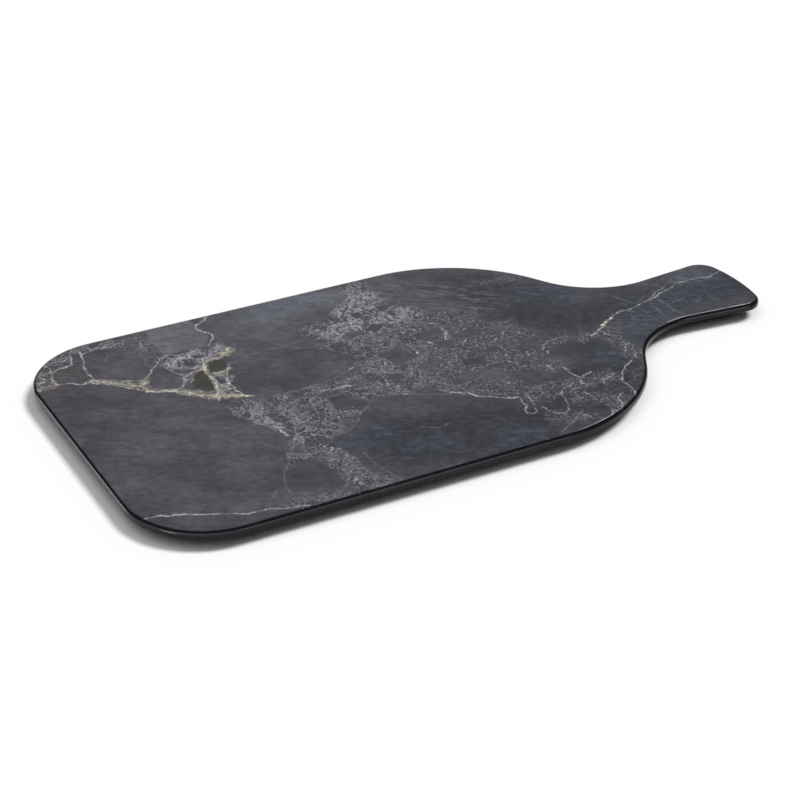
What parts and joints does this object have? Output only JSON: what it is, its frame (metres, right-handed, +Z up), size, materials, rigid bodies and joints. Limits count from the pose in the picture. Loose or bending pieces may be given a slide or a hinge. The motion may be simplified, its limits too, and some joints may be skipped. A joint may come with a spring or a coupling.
{
  "type": "serving paddle",
  "caption": "Flat serving paddle with a rounded board, a short flared handle, an overhanging rounded lip and a hollow foot rim, dressed with a dark marble-look overlay.",
  "frame": {"origin": "middle of the paddle's length and width, on the surface that the foot rim stands on", "axes": "+X along the paddle from the board end to the handle, +Z up out of the serving face, +Y across the board"},
  "size_m": [0.4, 0.2064, 0.0116],
  "materials": {
    "black_melamine": "satin black moulded melamine",
    "marble_print": "satin melamine overlay with a dark marble print"
  },
  "bodies": {
    "root": {"moulded_body": "black_melamine", "marble_overlay": "marble_print"}
  },
  "joints": []
}
